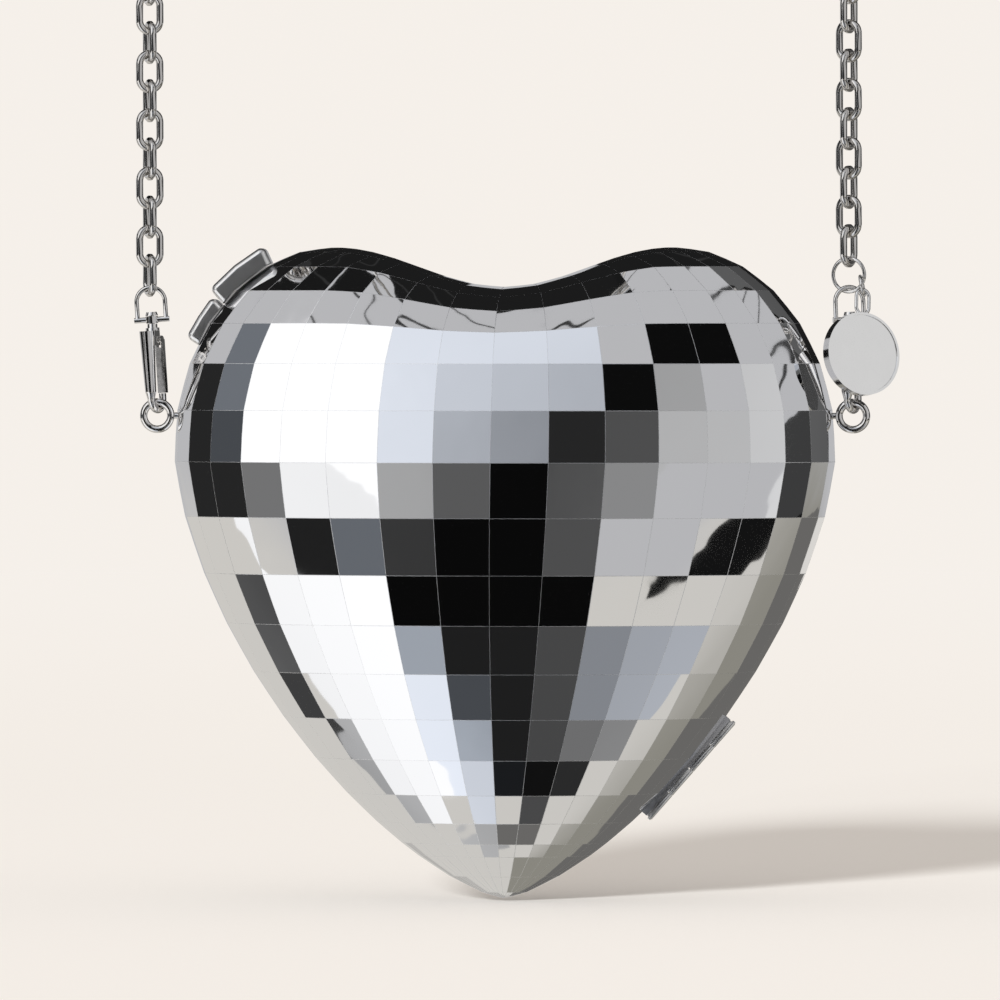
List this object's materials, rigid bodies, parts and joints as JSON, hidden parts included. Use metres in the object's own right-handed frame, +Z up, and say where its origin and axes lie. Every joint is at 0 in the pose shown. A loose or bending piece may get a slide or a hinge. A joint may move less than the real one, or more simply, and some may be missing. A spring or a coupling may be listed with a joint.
{
  "type": "heart shaped purse",
  "caption": "Faceted heart shaped hard clutch, hinged halves, snap hooks on side eyelets and a link chain handle with a round hang tag.",
  "frame": {"origin": "top of the inside of the strap's crown, where a hand or a peg carries the purse", "axes": "+Z up; the purse's front, with the heart's outline in view, faces -Y; +X is to the right seen from the front"},
  "size_m": [0.1853, 0.076, 0.3048],
  "materials": {
    "shell_chrome": "mirror polished chrome plate, faceted",
    "rim_steel": "satin nickel plated steel",
    "lining_cloth": "dark grey microsuede bonded to the shell",
    "hardware_chrome": "polished plated zinc",
    "chain_nickel": "polished dark nickel plate",
    "tag_chrome": "polished chrome plate"
  },
  "bodies": {
    "back": {"back_shell": "shell_chrome", "back_frame": "rim_steel", "back_lining": "lining_cloth", "hinge_leaf_back": "rim_steel", "hinge_pin": "rim_steel", "eyelet_left": "shell_chrome", "eyelet_right": "shell_chrome", "clasp_tab_back": "shell_chrome"},
    "lid": {"front_shell": "shell_chrome", "front_frame": "rim_steel", "front_lining": "lining_cloth", "hinge_leaf_front": "rim_steel", "clasp_tab_front": "shell_chrome"},
    "strap": {"chain_left": "chain_nickel", "chain_crown": "chain_nickel", "chain_right": "chain_nickel", "jump_ring": "hardware_chrome", "tag_ring": "hardware_chrome", "swivel_loop_left": "hardware_chrome", "swivel_loop_right": "hardware_chrome"},
    "left_hook": {"hook_left": "hardware_chrome", "gate_pin_left": "hardware_chrome"},
    "left_gate": {"gate_left": "hardware_chrome"},
    "right_hook": {"hook_right": "hardware_chrome", "gate_pin_right": "hardware_chrome"},
    "right_gate": {"gate_right": "hardware_chrome"},
    "tag": {"tag_disc": "tag_chrome"}
  },
  "joints": [
    {"name": "bag_swing", "type": "hinge", "parent": "strap", "child": "back", "pos_m": [0.0014, 0, -0.18199], "axis": [1, 0, 0], "range_deg": [-35, 35]},
    {"name": "lid_hinge", "type": "hinge", "parent": "back", "child": "lid", "pos_m": [0.04671, 0, -0.27064], "axis": [0.6596, 0, 0.7516], "range_deg": [0, 100]},
    {"name": "left_hook_swivel", "type": "hinge", "parent": "strap", "child": "left_hook", "pos_m": [-0.08281, 0, -0.18199], "axis": [-0.0648, 0, 0.9979], "range_deg": [-4, 15]},
    {"name": "left_gate_pivot", "type": "hinge", "parent": "left_hook", "child": "left_gate", "pos_m": [-0.08281, 0.00219, -0.16688], "axis": [-0.9116, 0.4067, -0.0592], "range_deg": [0, 14], "stiffness_Nm_per_rad": 0.01},
    {"name": "right_hook_swivel", "type": "hinge", "parent": "strap", "child": "right_hook", "pos_m": [0.08561, 0, -0.18199], "axis": [-0.0361, 0, 0.9993], "range_deg": [-4, 15]},
    {"name": "right_gate_pivot", "type": "hinge", "parent": "right_hook", "child": "right_gate", "pos_m": [0.08604, 0.00219, -0.16689], "axis": [-0.913, 0.4067, -0.033], "range_deg": [0, 14], "stiffness_Nm_per_rad": 0.01},
    {"name": "tag_swing", "type": "hinge", "parent": "strap", "child": "tag", "pos_m": [0.08816, -0.00247, -0.15493], "axis": [-0.8121, -0.5835, 0], "range_deg": [0, 60]}
  ]
}
